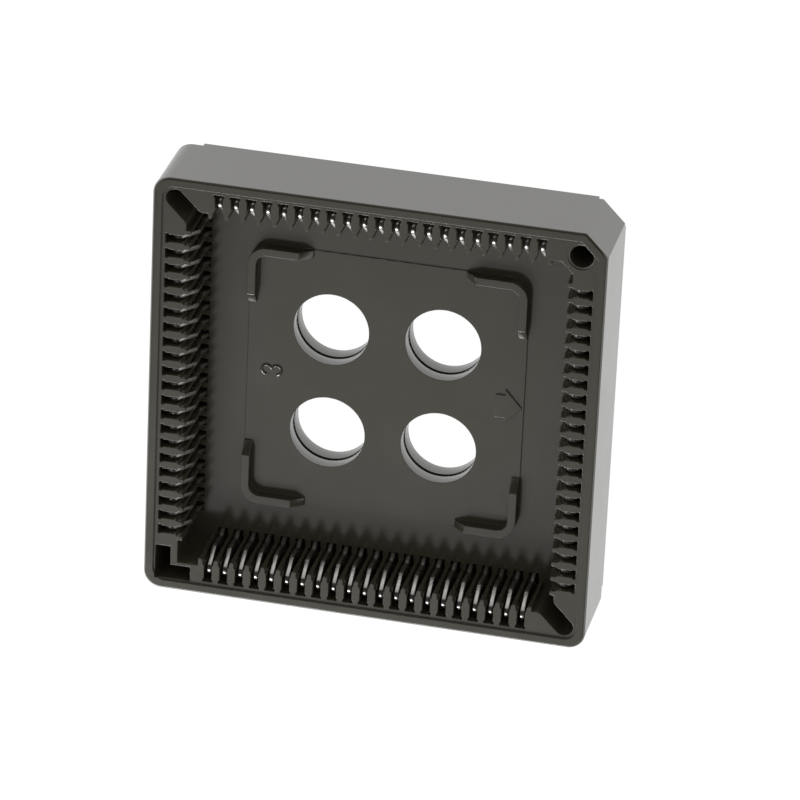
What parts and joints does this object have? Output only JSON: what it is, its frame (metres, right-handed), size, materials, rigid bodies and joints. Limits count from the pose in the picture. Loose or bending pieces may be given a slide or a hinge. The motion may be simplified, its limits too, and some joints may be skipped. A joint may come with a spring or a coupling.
{
  "type": "chip carrier socket",
  "caption": "Square open-well socket for a leaded chip carrier, with spring contacts on all four sides and straight through-board tails.",
  "frame": {"origin": "centre of the bottom plate's underside, on the board face", "axes": "+Z towards the open side, +X towards the side with the pin 1 contact, keying chamfer at +X +Y"},
  "size_m": [0.0358, 0.0358, 0.0108],
  "materials": {
    "housing_plastic": "fine moulded, slightly satin, dark olive brown",
    "contact_metal": "bright tin plate over copper alloy, stamped edges"
  },
  "bodies": {
    "root": {"housing": "housing_plastic", "bottom_plate": "housing_plastic", "contacts_right_01": "contact_metal", "contacts_right_02": "contact_metal", "contacts_right_03": "contact_metal", "contacts_right_04": "contact_metal", "contacts_right_05": "contact_metal", "contacts_right_06": "contact_metal", "contacts_right_07": "contact_metal", "contacts_right_08": "contact_metal", "contacts_right_09": "contact_metal", "contacts_right_10": "contact_metal", "contacts_right_11": "contact_metal", "contacts_back_01": "contact_metal", "contacts_back_02": "contact_metal", "contacts_back_03": "contact_metal", "contacts_back_04": "contact_metal", "contacts_back_05": "contact_metal", "contacts_back_06": "contact_metal", "contacts_back_07": "contact_metal", "contacts_back_08": "contact_metal", "contacts_back_09": "contact_metal", "contacts_back_10": "contact_metal", "contacts_back_11": "contact_metal", "contacts_left_01": "contact_metal", "contacts_left_02": "contact_metal", "contacts_left_03": "contact_metal", "contacts_left_04": "contact_metal", "contacts_left_05": "contact_metal", "contacts_left_06": "contact_metal", "contacts_left_07": "contact_metal", "contacts_left_08": "contact_metal", "contacts_left_09": "contact_metal", "contacts_left_10": "contact_metal", "contacts_left_11": "contact_metal", "contacts_front_01": "contact_metal", "contacts_front_02": "contact_metal", "contacts_front_03": "contact_metal", "contacts_front_04": "contact_metal", "contacts_front_05": "contact_metal", "contacts_front_06": "contact_metal", "contacts_front_07": "contact_metal", "contacts_front_08": "contact_metal", "contacts_front_09": "contact_metal", "contacts_front_10": "contact_metal", "contacts_front_11": "contact_metal"}
  },
  "joints": []
}
